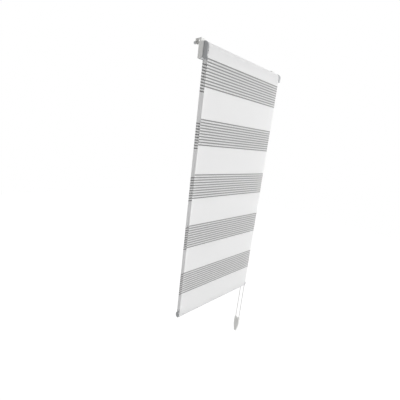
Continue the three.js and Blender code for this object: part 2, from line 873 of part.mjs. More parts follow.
// The cloth's fold round the bottom bar
function bottomLoop() {
  const inner = BAR_DEPTH / 2 + GAP;
  const outer = inner + CLOTH_THICK;
  const centre = clothBottom + outer;
  const outline = new THREE.Shape();
  outline.moveTo(barY - outer, loopTop());
  outline.lineTo(barY - outer, centre);
  outline.absarc(barY, centre, outer, Math.PI, 2 * Math.PI, false);
  outline.lineTo(barY + outer, loopTop());
  outline.lineTo(barY + inner, loopTop());
  outline.lineTo(barY + inner, centre);
  outline.absarc(barY, centre, inner, 2 * Math.PI, Math.PI, true);
  outline.lineTo(barY - inner, loopTop());
  outline.closePath();
  return alongX(outline, clothLeft, clothRight);
}

function bottomBar() {
  const outline = roundEnded(barY, barBottom, barTop, BAR_DEPTH);
  const hollow = roundEnded(
    barY,
    barBottom + BAR_WALL,
    barTop - BAR_WALL,
    BAR_DEPTH - 2 * BAR_WALL,
  );
  outline.holes.push(new THREE.Path(hollow.getPoints(ROUND / 4).reverse()));
  return alongX(outline, clothLeft, clothRight);
}

function bottomCap(side) {
  const barEnd = side < 0 ? clothLeft : clothRight;
  const face = barEnd + side * GAP;
  const outer = face + side * CAP_THICK;
  const plugEnd = barEnd - side * CAP_PLUG;
  const middle = (barBottom + barTop) / 2;
  const plugInset = BAR_WALL + GAP;
  const [capLow, capHigh] = [face, outer].sort((a, b) => a - b);
  const [plugLow, plugHigh] = [face + side * (CAP_THICK / 2), plugEnd].sort((a, b) => a - b);
  return join([
    alongX(
      roundEnded(barY, middle - CAP_TALL / 2, middle + CAP_TALL / 2, CAP_DEPTH),
      capLow,
      capHigh,
    ),
    alongX(
      roundEnded(barY, barBottom + plugInset, barTop - plugInset, BAR_DEPTH - 2 * plugInset),
      plugLow,
      plugHigh,
    ),
  ]);
}

// Bead chain: two hanging strands, the turn over the sprocket and the turn in the weight
function strand(y, top, bottom) {
  const line = new THREE.LineCurve3(
    new THREE.Vector3(chainX, y, top),
    new THREE.Vector3(chainX, y, bottom),
  );
  return tubeAlong(line, BEAD_RADIUS, Math.ceil((top - bottom) / STRAND_STEP), CHAIN_SIDES);
}

function chainOver() {
  return tubeAlong(new ArcYZ(axisZ, Math.PI, 0), BEAD_RADIUS, ARC_STEPS, CHAIN_SIDES);
}

function chainBottom() {
  const arc = new ArcYZ(-WEIGHT_TOP - WEIGHT_BEND, Math.PI, 2 * Math.PI);
  return tubeAlong(arc, BEAD_RADIUS, ARC_STEPS, CHAIN_SIDES);
}

const strandBottom = -WEIGHT_TOP - WEIGHT_BEND + GAP;

// Drop-shaped weight in two halves, with a channel for the chain
function weightBody() {
  const top = -WEIGHT_TOP - WEIGHT_ROUND;
  const tip = -WEIGHT_TOP - WEIGHT_TALL + WEIGHT_ROUND;
  const half = chainRadius + BEAD_RADIUS + GAP + WEIGHT_WALL - WEIGHT_ROUND;
  const shoulder = top - WEIGHT_BEND;
  const waist = tip + WEIGHT_BEND;
  const outline = new THREE.Shape();
  outline.moveTo(axisY - half, top);
  outline.lineTo(axisY - half, shoulder);
  outline.bezierCurveTo(axisY - half, waist, axisY - WEIGHT_TIP, waist, axisY - WEIGHT_TIP, tip);
  outline.lineTo(axisY + WEIGHT_TIP, tip);
  outline.bezierCurveTo(axisY + WEIGHT_TIP, waist, axisY + half, waist, axisY + half, shoulder);
  outline.lineTo(axisY + half, top);
  outline.closePath();
  const geometry = new THREE.ExtrudeGeometry(outline, {
    depth: WEIGHT_THICK - 2 * WEIGHT_ROUND,
    bevelEnabled: true,
    bevelThickness: WEIGHT_ROUND,
    bevelSize: WEIGHT_ROUND,
    bevelSegments: BEVEL_STEPS,
    curveSegments: ARC_STEPS,
  });
  const turn = new THREE.Matrix4();
  turn.makeBasis(
    new THREE.Vector3(0, 1, 0),
    new THREE.Vector3(0, 0, 1),
    new THREE.Vector3(1, 0, 0),
  );
  geometry.applyMatrix4(turn);
  geometry.translate(chainX - WEIGHT_THICK / 2 + WEIGHT_ROUND, 0, 0);
  return geometry;
}

function weightHalf(side) {
  const radius = BEAD_RADIUS + GAP;
  const centreZ = -WEIGHT_TOP - WEIGHT_BEND;
  const channel = [
    tubeAlong(new ArcYZ(centreZ, Math.PI, 2 * Math.PI), radius, ARC_STEPS, SMALL_ROUND / 2),
    channelLeg(axisY - chainRadius, centreZ, radius),
    channelLeg(axisY + chainRadius, centreZ, radius),
  ];
  const near = chainX + (side * GAP) / 2;
  const far = chainX - side * WEIGHT_THICK;
  const [low, high] = [near, far].sort((a, b) => a - b);
  const reach = 2 * WEIGHT_TALL;
  const otherSide = box(
    [low, axisY - reach, -WEIGHT_TOP - reach],
    [high, axisY + reach, -WEIGHT_TOP + reach],
  );
  return cut(weightBody(), [...channel, otherSide]);
}

function channelLeg(y, centreZ, radius) {
  const leg = new THREE.CylinderGeometry(radius, radius, WEIGHT_BEND + 2 * OVERRUN, SMALL_ROUND / 2);
  leg.rotateX(Math.PI / 2);
  leg.translate(chainX, y, centreZ + WEIGHT_BEND / 2 + OVERRUN / 2);
  return leg;
}

// Clear sleeve that joins the chain's two ends
function chainConnector() {
  const inner = BEAD_RADIUS + GAP;
  const profile = ring(0, CONNECTOR_LENGTH, inner, inner + CONNECTOR_WALL);
  const points = profile.map(([along, radius]) => new THREE.Vector2(radius, along));
  const geometry = new THREE.LatheGeometry(points, SMALL_ROUND / 2);
  geometry.rotateX(Math.PI / 2);
  geometry.translate(chainX, axisY + chainRadius, -CONNECTOR_DOWN);
  return geometry;
}

for (const [side, word] of [
  [-1, 'left'],
  [1, 'right'],
]) {
  place(`bracket_${word}`, sideBracket(side), whitePlastic());
  place(`clamp_hook_${word}`, clampHook(side), whiteSteel());
  place(`hook_rivet_${word}`, hookRivet(side), steel());
  place(`clamp_pad_${word}`, clampPad(side), softRubber());
  place(`clamp_screw_${word}`, clampScrew(side), steel());
  place(`bottom_cap_${word}`, bottomCap(side), greyPlastic());
  place(`chain_weight_${word}`, weightHalf(side), whitePlastic());
}

place('roller_tube', rollerTube(), aluminium());
place('fabric_spline', fabricSpline(), whitePlastic());
place('fabric_roll', fabricRoll(), whiteCloth());
place('idler_housing', idlerHousing(), greyPlastic());
place('idler_plug', idlerPlug(), greyPlastic());
place('idler_pin', idlerPin(), steel());
place('idler_spring', idlerSpring(), springSteel());
place('drive_core', driveCore(), greyPlastic());
place('chain_sprocket', sprocket(), greyPlastic());
place('tube_adapter', tubeAdapter(), greyPlastic());
place('brake_spring_inner', brakeSpring(0), springSteel());
place('brake_spring_outer', brakeSpring(1), springSteel());
place('chain_guard', chainGuard(), greyPlastic());
place('back_rail', backRail(), aluminium());
place('hem_strip', hemStrip(), whitePlastic());
place('front_sheet', frontSheet(), whiteCloth());
place('back_sheet', backSheet(), whiteCloth());
place('bottom_loop', bottomLoop(), whiteCloth());
place('bottom_bar', bottomBar(), aluminium());
place('chain_over', chainOver(), chainPlastic());
place('chain_front', strand(axisY - chainRadius, axisZ - GAP, strandBottom), chainPlastic());
place('chain_rear', strand(axisY + chainRadius, axisZ - GAP, strandBottom), chainPlastic());
place('chain_bottom', chainBottom(), chainPlastic());
place('chain_connector', chainConnector(), clearPlastic());

export default blind;
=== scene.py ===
"""Looks of a clamp-on double roller blind: cloth in two hanging layers, bead chain, finishes and a
plain studio stage. Lengths in the settings are metres, and pattern sizes are millimetres."""

import json
import math

import bmesh
import bpy
from mathutils import Matrix, Vector

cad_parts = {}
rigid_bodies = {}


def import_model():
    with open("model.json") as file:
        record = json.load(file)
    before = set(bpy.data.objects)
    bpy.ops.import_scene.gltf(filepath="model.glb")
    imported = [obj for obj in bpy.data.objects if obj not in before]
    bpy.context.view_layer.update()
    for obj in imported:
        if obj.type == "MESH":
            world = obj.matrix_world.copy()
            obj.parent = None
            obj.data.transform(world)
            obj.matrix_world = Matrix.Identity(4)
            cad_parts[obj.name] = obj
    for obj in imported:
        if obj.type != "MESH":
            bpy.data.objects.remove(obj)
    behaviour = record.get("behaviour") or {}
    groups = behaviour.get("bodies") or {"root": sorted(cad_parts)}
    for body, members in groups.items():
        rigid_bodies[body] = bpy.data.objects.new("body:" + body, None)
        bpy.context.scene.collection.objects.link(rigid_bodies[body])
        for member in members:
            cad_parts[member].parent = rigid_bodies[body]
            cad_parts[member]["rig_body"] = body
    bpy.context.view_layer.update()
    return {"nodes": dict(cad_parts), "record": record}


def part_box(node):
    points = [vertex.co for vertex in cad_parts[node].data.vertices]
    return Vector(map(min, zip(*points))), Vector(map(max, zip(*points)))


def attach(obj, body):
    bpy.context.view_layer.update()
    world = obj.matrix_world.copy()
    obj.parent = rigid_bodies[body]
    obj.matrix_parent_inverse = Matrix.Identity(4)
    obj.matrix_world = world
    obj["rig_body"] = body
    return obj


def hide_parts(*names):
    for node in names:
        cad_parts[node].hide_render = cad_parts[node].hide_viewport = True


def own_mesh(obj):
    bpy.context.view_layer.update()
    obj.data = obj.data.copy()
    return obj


bl_info = {
    "name": "Double roller blind",
    "version": (1, 0, 0),
    "blender": (4, 5, 0),
    "location": "3D View > Sidebar > Blind",
    "description": "Dresses the double roller blind and sets its studio stage",
    "category": "Object",
}

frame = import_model()

MM = 0.001

# Places that the solids share, in metres
AXIS_Y = -22.5 * MM
AXIS_Z = -28 * MM
CLOTH_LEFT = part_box("front_sheet")[0][0]
CLOTH_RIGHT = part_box("front_sheet")[1][0]
FRONT_Y = (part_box("front_sheet")[0][1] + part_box("front_sheet")[1][1]) / 2
LOOP_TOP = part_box("bottom_loop")[1][2]
CLOTH_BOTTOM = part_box("bottom_loop")[0][2]
BAR_Y = (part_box("bottom_bar")[0][1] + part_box("bottom_bar")[1][1]) / 2
HEM_Y = (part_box("hem_strip")[0][1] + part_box("hem_strip")[1][1]) / 2
HEM_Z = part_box("hem_strip")[0][2]
TUBE_RADIUS = (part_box("roller_tube")[1][1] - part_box("roller_tube")[0][1]) / 2
CHAIN_X = (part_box("chain_front")[0][0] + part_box("chain_front")[1][0]) / 2

# How far the edges of each visible part are rounded, in millimetres
ROUNDED = {
    "bracket_left": 0.5,
    "bracket_right": 0.4,
    "idler_housing": 0.5,
    "chain_guard": 0.6,
    "bottom_cap_left": 0.5,
    "bottom_cap_right": 0.5,
    "clamp_hook_left": 0.4,
    "clamp_hook_right": 0.4,
    "clamp_pad_left": 0.5,
    "clamp_pad_right": 0.5,
    "clamp_screw_left": 0.25,
    "clamp_screw_right": 0.25,
    "hook_rivet_left": 0.2,
    "hook_rivet_right": 0.2,
    "back_rail": 0.3,
}
SLIVER = 0.25 * MM  # edges shorter than this are drawn together before the rounding
SHARP = 30  # degrees: an edge that turns by more is rounded
HOUSING_SHARP = 45  # on the left housing, whose small facets would cross if they were rounded
LONG_ENOUGH = 1.2  # an edge is rounded where its length is more than this many roundings
ROUNDING_STEPS = 3
ONE_POINT = 0.001 * MM  # corners closer than this are one
ONE_PLANE = 0.5  # degrees: faces that turn by less are one
NO_LENGTH = 0.01 * MM  # what the drawing together leaves shorter than this is taken out
SHADED_AS_ONE = 40  # degrees: faces that turn by more meet in a sharp line

# The pieces on the chain, with a rounding of their own
ON_CHAIN = ("chain_connector", "chain_weight_left", "chain_weight_right")
CHAIN_ROUNDING = 0.4 * MM
CHAIN_SLIVER = 0.5 * MM

# How finely the shapes are divided
LAYER_ROWS = 90  # down a hanging layer
CLOTH_COLUMNS = 24  # across the cloth
BAR_SIDE_ROWS = 4  # up each side of the bottom bar
BAR_FOLD_ROWS = 28  # round its underside
TURN_ROWS = 48  # round one turn of the wound cloth
BEAD_SIDES = 12
BEAD_RINGS = 8
ROD_SIDES = 6
ROD_REACH = 0.7  # half of a thread's rod, as a share of the gap between two beads

# How the cloth lies
FRONT_RIPPLE = 0.08 * MM
BACK_RIPPLE = 0.1 * MM
LONG_WAVE = (9.0, 5.0)  # radians a metre, across and down
SHORT_WAVE = (23.0, -3.0)
SHORT_WAVE_SHARE = 0.6
TURN_GAP = 0.02 * MM  # between two turns on the roll
TUBE_GAP = 0.4 * MM  # the least from the tube to the middle of the innermost turn

# Finishes. Grain and lines are drawn coarser than the real ones, so that they show
GRAIN = 0.35  # millimetres, as are the next three
GRAIN_DEPTH = 0.02
DIE_LINES = 0.25
DIE_LINE_DEPTH = 0.01
BLOTCHES = 60.0  # to the metre, so that a part's gloss drifts slowly over it
PLASTIC_DRIFT = 0.06  # how far roughness goes up and down
METAL_DRIFT = 0.08
WEAVE_DEPTH = 0.04  # millimetres
THREAD_CONTRAST = 0.12  # how much more a thread covers than the holes beside it
THREAD_OFFSET = 0.04  # keeps the mean cover close to the setting

# The Mix node has sockets for each kind of value
SHARE, NUMBER_A, NUMBER_B, COLOUR_A, COLOUR_B = 0, 2, 3, 6, 7
MIXED_COLOUR = 2

# The stage, in metres
KEY_PLACE = (1.4, -3.2, 0.3)
KEY_AIM = (0, 0, -0.5)
KEY_WIDTH = 2.4
KEY_HEIGHT = 3.0
FLOOR_REACH = 6.0  # from its middle to each side
PAPER_GLOW = 1.2  # strength of the part of the paper's white that no shadow darkens
PAPER_GLOW_SHARE = 0.5
WHITE = (1, 1, 1, 1)

SLOTS = {part["node"]: part["material_slot"] for part in frame["record"]["subparts"]}

# The photograph's camera
CAMERA_PLACE = (-0.8706, -0.7039, -0.3014)
CAMERA_RIGHT = (0.70481, -0.70011, 0.11439)
CAMERA_UP = (0.07575, 0.23461, 0.96913)
CAMERA_BACK = (-0.70534, -0.67439, 0.21839)
CAMERA_LENS = 25.08  # millimetres, as is the sensor
SENSOR = 36.0
CAMERA_NEAR = 0.02


# Settings


class ClothSettings(bpy.types.PropertyGroup):
    thickness: bpy.props.FloatProperty(
        name="Thickness", description="Cloth thickness", default=0.00028, unit="LENGTH"
    )
    band_pitch: bpy.props.FloatProperty(
        name="Band pitch", description="From one see-through band to the next", default=182.1
    )
    see_height: bpy.props.FloatProperty(
        name="See-through height", description="Height of a see-through band", default=85.2
    )
    line_pitch: bpy.props.FloatProperty(
        name="Line pitch", description="From one line to the next", default=9.03
    )
    line_height: bpy.props.FloatProperty(
        name="Line height", description="Height of a line", default=3.9
    )
    thread_pitch: bpy.props.FloatProperty(
        name="Thread pitch", description="Between the net's threads", default=0.6
    )
    front_first: bpy.props.FloatProperty(
        name="Front first band", description="Axis to the front layer's first band", default=33.0
    )
    back_first: bpy.props.FloatProperty(
        name="Back first band", description="Axis to the back layer's first band", default=46.0
    )
    solid_colour: bpy.props.StringProperty(
        name="Solid cloth", description="Colour of the solid bands", default="FAFAFA"
    )
    net_colour: bpy.props.StringProperty(
        name="Net", description="Colour of the net between the lines", default="FAFAFA"
    )
    line_colour: bpy.props.StringProperty(
        name="Lines", description="Colour of the lines", default="A4A4A4"
    )
    net_cover: bpy.props.FloatProperty(
        name="Net cover", description="Share that the net's threads cover", default=0.74,
        subtype="FACTOR", min=0, max=1,
    )
    line_cover: bpy.props.FloatProperty(
        name="Line cover", description="Share that a line's threads cover", default=0.94,
        subtype="FACTOR", min=0, max=1,
    )
    glow: bpy.props.FloatProperty(
        name="Glow", description="Share of the light that the cloth lets through", default=0.36,
        subtype="FACTOR", min=0, max=1,
    )


class ChainSettings(bpy.types.PropertyGroup):
    bead: bpy.props.FloatProperty(
        name="Bead", description="Diameter of a bead", default=0.0045, unit="LENGTH"
    )
    pitch: bpy.props.FloatProperty(
        name="Pitch", description="From bead to bead", default=0.006, unit="LENGTH"
    )
    thread: bpy.props.FloatProperty(
        name="Thread", description="Diameter of the thread", default=0.001, unit="LENGTH"
    )
    colour: bpy.props.StringProperty(
        name="Beads", description="Colour of the beads", default="D8D8D6"
    )


class FinishSettings(bpy.types.PropertyGroup):
    white: bpy.props.StringProperty(
        name="White plastic", description="Colour of the moulded parts", default="EEEEEC"
    )
    # Partly the plastic's own grey and partly painted shade: it darkens the housings and caps
    # where shade falls on their left sides
    grey: bpy.props.StringProperty(
        name="Grey plastic", description="Colour of the housings and caps", default="B0B2B4"
    )
    guard: bpy.props.StringProperty(
        name="Guard", description="Colour of the guard over the chain wheel", default="C2C4C6"
    )
    pad: bpy.props.StringProperty(
        name="Pads", description="Colour of the clamp pads", default="B9B9B7"
    )


class StageSettings(bpy.types.PropertyGroup):
    key: bpy.props.FloatProperty(
        name="Key light", description="Power of the large light at the front right", default=65.5
    )
    ambient: bpy.props.FloatProperty(
        name="Ambient", description="Strength of the even light all round", default=0.617
    )
    slant: bpy.props.FloatVectorProperty(
        name="Slant",
        description="How much the even light grows towards each of the axes' directions",
        default=(0.5, 0.35, 0.5),
        subtype="XYZ",
    )
    floor: bpy.props.FloatProperty(
        name="Floor", description="Height of the floor", default=-1.9, unit="LENGTH"
    )


# Helpers


def linear(hex_colour):
    """An sRGB hex colour as linear RGBA."""
    shares = [int(hex_colour[i : i + 2], 16) / 255 for i in (0, 2, 4)]
    return [s / 12.92 if s <= 0.04045 else ((s + 0.055) / 1.055) ** 2.4 for s in shares] + [1]


def add(tree, kind, inputs=None, **settings):
    """Adds a node with its settings; inputs give each socket a value or an output to link."""
    made = tree.nodes.new(kind)
    for key, value in settings.items():
        setattr(made, key, value)
    for key, value in (inputs or {}).items():
        if isinstance(value, bpy.types.NodeSocket):
            tree.links.new(value, made.inputs[key])
        else:
            made.inputs[key].default_value = value
    return made


def calc(tree, operation, *values):
    """A Math node's output."""
    return add(
        tree, "ShaderNodeMath", dict(enumerate(values)), operation=operation
    ).outputs[0]


def new_material(name):
    """An empty node material with its output."""
    material = bpy.data.materials.new(name)
    material.use_nodes = True
    tree = material.node_tree
    tree.nodes.clear()
    return material, tree, add(tree, "ShaderNodeOutputMaterial")


def show(tree, output, shader):
    """Links a shader to the material's surface."""
    tree.links.new(shader.outputs[0], output.inputs["Surface"])


def in_view(tree):
    """1 for a ray that the camera, a gloss or a clear piece sees, 0 for one that only lights."""
    rays = add(tree, "ShaderNodeLightPath").outputs
    return calc(
        tree,
        "MAXIMUM",
        calc(tree, "MAXIMUM", rays["Is Camera Ray"], rays["Is Glossy Ray"]),
        rays["Is Transmission Ray"],
    )


# Materials


def grain(tree, size, depth, edge):
    """Fine grain as bump, size and depth in millimetres, over edges softened by edge."""
    place = add(tree, "ShaderNodeTexCoord").outputs["Object"]
    noise = add(
        tree, "ShaderNodeTexNoise", {"Vector": place, "Scale": 1 / (size * MM), "Detail": 2.0}
    )
    soft = add(tree, "ShaderNodeBevel", {"Radius": edge * MM}, samples=4)
    return add(
        tree,
        "ShaderNodeBump",
        {
            "Strength": 0.6,
            "Distance": depth * MM,
            "Height": noise.outputs[0],
            "Normal": soft.outputs[0],
        },
    ).outputs[0]


def moulded(name, colour, roughness, edge=0.4):
    """Moulded plastic or a powder coat: one colour, slightly uneven gloss, fine grain, and edges
    softened by edge millimetres."""
    material, tree, output = new_material(name)
    place = add(tree, "ShaderNodeTexCoord").outputs["Object"]
    blotch = add(
        tree, "ShaderNodeTexNoise", {"Vector": place, "Scale": BLOTCHES, "Detail": 3.0}
    )
    gloss = add(
        tree,
        "ShaderNodeMapRange",
        {
            "Value": blotch.outputs[0],
            "To Min": roughness - PLASTIC_DRIFT,
            "To Max": roughness + PLASTIC_DRIFT,
        },
    )
    show(
        tree,
        output,
        add(
            tree,
            "ShaderNodeBsdfPrincipled",
            {
                "Base Color": linear(colour),
                "Roughness": gloss.outputs[0],
                "Normal": grain(tree, GRAIN, GRAIN_DEPTH, edge),
            },
        ),
    )
    return material


def metal(name, colour, roughness, stretch):
    """Drawn, plated or extruded metal: a fine pattern, stretch times as long along X."""
    material, tree, output = new_material(name)
    place = add(tree, "ShaderNodeTexCoord").outputs["Object"]
    along = add(
        tree, "ShaderNodeMapping", {"Vector": place, "Scale": (1 / stretch, 1.0, 1.0)}
    )
    lines = add(
        tree,
        "ShaderNodeTexNoise",
        {"Vector": along.outputs[0], "Scale": 1 / (DIE_LINES * MM), "Detail": 2.0},
    )
    gloss = add(
        tree,
        "ShaderNodeMapRange",
        {
            "Value": lines.outputs[0],
            "To Min": roughness - METAL_DRIFT,
            "To Max": roughness + METAL_DRIFT,
        },
    )
    bump = add(
        tree,
        "ShaderNodeBump",
        {"Strength": 0.4, "Distance": DIE_LINE_DEPTH * MM, "Height": lines.outputs[0]},
    )
    show(
        tree,
        output,
        add(
            tree,
            "ShaderNodeBsdfPrincipled",
            {
                "Base Color": linear(colour),
                "Metallic": 1.0,
                "Roughness": gloss.outputs[0],
                "Normal": bump.outputs[0],
            },
        ),
    )
    return material


def clear_plastic(name):
    """Clear moulded plastic: mostly see-through with a glossy skin."""
    material, tree, output = new_material(name)
    show(
        tree,
        output,
        add(
            tree,
            "ShaderNodeBsdfPrincipled",
            {
                "Base Color": linear("E8ECEE"),
                "Roughness": 0.12,
                "Transmission Weight": 0.7,
                "Normal": grain(tree, size=0.5, depth=0.01, edge=0.2),
            },
        ),
    )
    return material


def banded_cloth(name, first, solid_only=False):
    """Woven polyester: solid bands, and see-through bands of a net crossed by grey lines.
    first is the distance in millimetres from the axis height to the first see-through band.
    On a hanging layer the bands go by height, so that they keep their size when it is raised."""
    cloth = bpy.context.scene.blind_cloth
    material, tree, output = new_material(name)
    if solid_only:
        uv = add(tree, "ShaderNodeUVMap", uv_map="cloth_mm").outputs[0]
        split = add(tree, "ShaderNodeSeparateXYZ", {0: uv})
        across, down = split.outputs[0], split.outputs[1]
    else:
        place = add(tree, "ShaderNodeTexCoord").outputs["Object"]
        split = add(tree, "ShaderNodeSeparateXYZ", {0: place})
        across = calc(tree, "DIVIDE", split.outputs[0], MM)
        down = calc(tree, "DIVIDE", calc(tree, "SUBTRACT", AXIS_Z, split.outputs[2]), MM)
    phase = calc(
        tree, "FLOORED_MODULO", calc(tree, "SUBTRACT", down, first), cloth.band_pitch
    )
    see = calc(tree, "LESS_THAN", phase, cloth.see_height)
    line_phase = calc(tree, "FLOORED_MODULO", phase, cloth.line_pitch)
    line = calc(tree, "LESS_THAN", line_phase, cloth.line_height)

    # Real polyester threads lie about 0.2 mm apart; they are drawn coarser so that they show
    turn = 2 * math.pi / cloth.thread_pitch
    warp = calc(tree, "SINE", calc(tree, "MULTIPLY", across, turn))
    weft = calc(tree, "SINE", calc(tree, "MULTIPLY", down, turn))
    threads = calc(tree, "MAXIMUM", warp, weft)
    weave = calc(tree, "MULTIPLY", warp, weft)

    stripe = add(
        tree,
        "ShaderNodeMix",
        {
            SHARE: line,
            COLOUR_A: linear(cloth.net_colour),
            COLOUR_B: linear(cloth.line_colour),
        },
        data_type="RGBA",
    ).outputs[MIXED_COLOUR]
    colour = add(
        tree,
        "ShaderNodeMix",
        {SHARE: see, COLOUR_A: linear(cloth.solid_colour), COLOUR_B: stripe},
        data_type="RGBA",
    ).outputs[MIXED_COLOUR]
    bump = add(
        tree,
        "ShaderNodeBump",
        {"Strength": 0.3, "Distance": WEAVE_DEPTH * MM, "Height": weave},
    ).outputs[0]
    facing = add(
        tree,
        "ShaderNodeBsdfPrincipled",
        {"Base Color": colour, "Roughness": 0.85, "Sheen Weight": 0.1, "Normal": bump},
    )
    through = add(tree, "ShaderNodeBsdfTranslucent", {"Color": colour})
    lit = add(
        tree,
        "ShaderNodeMixShader",
        {0: cloth.glow, 1: facing.outputs[0], 2: through.outputs[0]},
    )
    if solid_only:
        show(tree, output, lit)
        return material

    net = calc(
        tree, "MULTIPLY_ADD", threads, THREAD_CONTRAST, cloth.net_cover - THREAD_OFFSET
    )
    band = add(
        tree,
        "ShaderNodeMix",
        {SHARE: line, NUMBER_A: net, NUMBER_B: cloth.line_cover},
        data_type="FLOAT",
    )
    cover = add(
        tree,
        "ShaderNodeMix",
        {SHARE: see, NUMBER_A: 1.0, NUMBER_B: band.outputs[0]},
        data_type="FLOAT",
    )
    clear = add(tree, "ShaderNodeBsdfTransparent")
    show(
        tree,
        output,
        add(
            tree,
            "ShaderNodeMixShader",
            {0: cover.outputs[0], 1: clear.outputs[0], 2: lit.outputs[0]},
        ),
    )
    return material


# Shapes


def unevenness(x, down):
    """Where the cloth lies at a place across and down it, as a multiple of its ripple."""
    long_wave = math.sin(LONG_WAVE[0] * x + LONG_WAVE[1] * down)
    short_wave = math.sin(SHORT_WAVE[0] * x + SHORT_WAVE[1] * down)
    return long_wave + SHORT_WAVE_SHARE * short_wave


def cloth_strip(name, line, start, columns=1, ripple=0.0):
    """A closed strip of cloth, as wide as the blind, along a line of (y, z) points. start is the
    distance in metres down the cloth at the line's first point, for the map that the weave of
    a folded piece follows. ripple is how far the strip is out of its plane, in metres."""
    cloth = bpy.context.scene.blind_cloth
    half = cloth.thickness / 2
    run = [0.0]
    for (y0, z0), (y1, z1) in zip(line, line[1:]):
        run.append(run[-1] + math.hypot(y1 - y0, z1 - z0))
    verts, places = [], []
    for i, (y, z) in enumerate(line):
        before, after = line[max(i - 1, 0)], line[min(i + 1, len(line) - 1)]
        tangent = Vector((0, after[0] - before[0], after[1] - before[1])).normalized()
        normal = Vector((0, tangent.z, -tangent.y))
        fade = math.sin(math.pi * run[i] / run[-1])
        for j in range(columns + 1):
            x = CLOTH_LEFT + (CLOTH_RIGHT - CLOTH_LEFT) * j / columns
            centre = Vector((x, y, z)) + normal * ripple * fade * unevenness(x, run[i])
            # The side along the normal comes first, so that every face looks outward
            for side in (1, -1):
                verts.append(centre + normal * half * side)
                places.append((x / MM, (start + run[i]) / MM))

    def at(i, j, side):
        return (i * (columns + 1) + j) * 2 + side

    faces = []
    last = len(line) - 1
    for i in range(last):
        for j in range(columns):
            faces.append((at(i, j, 1), at(i, j + 1, 1), at(i + 1, j + 1, 1), at(i + 1, j, 1)))
            faces.append((at(i, j, 0), at(i + 1, j, 0), at(i + 1, j + 1, 0), at(i, j + 1, 0)))
        faces.append((at(i, 0, 0), at(i, 0, 1), at(i + 1, 0, 1), at(i + 1, 0, 0)))
        faces.append(
            (
                at(i, columns, 1),
                at(i, columns, 0),
                at(i + 1, columns, 0),
                at(i + 1, columns, 1),
            )
        )
    for j in range(columns):
        faces.append((at(0, j, 0), at(0, j + 1, 0), at(0, j + 1, 1), at(0, j, 1)))
        faces.append((at(last, j, 1), at(last, j + 1, 1), at(last, j + 1, 0), at(last, j, 0)))
    mesh = bpy.data.meshes.new(name)
    mesh.from_pydata([tuple(v) for v in verts], [], faces)
    layer = mesh.uv_layers.new(name="cloth_mm")
    for loop in mesh.loops:
        layer.data[loop.index].uv = places[loop.vertex_index]
    return finish_mesh(name, mesh)


def finish_mesh(name, mesh):
    """Links a mesh as an object, smooth but for its sharp edges."""
    mesh.validate()
    mesh.update()
    mesh.shade_smooth()
    mesh.set_sharp_from_angle(angle=math.radians(SHADED_AS_ONE))
    piece = bpy.data.objects.new(name, mesh)
    bpy.context.scene.collection.objects.link(piece)
    return piece


def softened(name, edge, sliver=SLIVER, clamp=True, sharp=SHARP):
    """A copy of a solid's form whose outer edges are rounded by edge metres, or by less where
    clamp keeps the roundings apart. Edges shorter than sliver are drawn together first, and
    only edges that turn by more than sharp degrees are rounded."""
    form = bmesh.new()
    form.from_mesh(frame["nodes"][name].data)
    bmesh.ops.remove_doubles(form, verts=form.verts, dist=ONE_POINT)
    bmesh.ops.dissolve_limit(
        form, angle_limit=math.radians(ONE_PLANE), verts=form.verts, edges=form.edges
    )
    short = [rim for rim in form.edges if rim.calc_length() < sliver]
    if short:
        bmesh.ops.collapse(form, edges=short, uvs=False)
        bmesh.ops.dissolve_degenerate(form, edges=form.edges, dist=NO_LENGTH)
    rims = [
        rim
        for rim in form.edges
        if rim.is_manifold
        and rim.is_convex
        and rim.calc_face_angle() > math.radians(sharp)
        and rim.calc_length() > LONG_ENOUGH * edge
    ]
    bmesh.ops.bevel(
        form,
        geom=rims,
        offset=edge,
        segments=ROUNDING_STEPS,
        profile=0.5,
        affect="EDGES",
        clamp_overlap=clamp,
    )
    mesh = bpy.data.meshes.new(f"{name}_form")
    form.to_mesh(mesh)
    form.free()
    piece = finish_mesh(f"{name}_form", mesh)
    even = piece.modifiers.new("even_shading", "WEIGHTED_NORMAL")
    even.weight = 100  # each corner takes the normal of its largest face
    even.keep_sharp = True
    return piece


def stand_in(piece, name):
    """Puts a piece in the place of a solid, on its body and with its finish."""
    node = frame["nodes"][name]
    give(piece, node.material_slots[0].material)
    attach(piece, node["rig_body"])
    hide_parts(name)


def straight(start, end, steps):
    """Points from start to end, both given as (y, z)."""
    return [
        (
            start[0] + (end[0] - start[0]) * i / steps,
            start[1] + (end[1] - start[1]) * i / steps,
        )
        for i in range(steps + 1)
    ]


def chain_path(step):
    """The chain's closed line, as points no more than step apart, from the front of the wheel
    down, round the weight's bend, up behind and over the wheel."""
    radius = (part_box("chain_rear")[0][1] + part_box("chain_rear")[1][1]) / 2 - AXIS_Y
    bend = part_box("chain_bottom")[1][2]
    points = []
    down = round((AXIS_Z - bend) / step)
    for i in range(down):
        points.append(Vector((CHAIN_X, AXIS_Y - radius, AXIS_Z + (bend - AXIS_Z) * i / down)))
    around = round(math.pi * radius / step)
    for i in range(around):
        angle = math.pi + math.pi * i / around
        points.append(
            Vector(
                (CHAIN_X, AXIS_Y + radius * math.cos(angle), bend + radius * math.sin(angle))
            )
        )
    for i in range(down):
        points.append(Vector((CHAIN_X, AXIS_Y + radius, bend + (AXIS_Z - bend) * i / down)))
    for i in range(around + 1):
        angle = math.pi * i / around
        points.append(
            Vector(
                (CHAIN_X, AXIS_Y + radius * math.cos(angle), AXIS_Z + radius * math.sin(angle))
            )
        )
    return points


def along_path(points, pitch):
    """Places and directions every pitch along a closed line."""
    run = [0.0]
    for a, b in zip(points, points[1:]):
        run.append(run[-1] + (b - a).length)
    count = round(run[-1] / pitch)
    found = []
    k = 0
    for i in range(count):
        want = run[-1] * i / count
        while run[k + 1] < want:
            k += 1
        share = (want - run[k]) / (run[k + 1] - run[k])
        found.append((points[k].lerp(points[k + 1], share), points[k + 1] - points[k]))
    return found, run[-1]


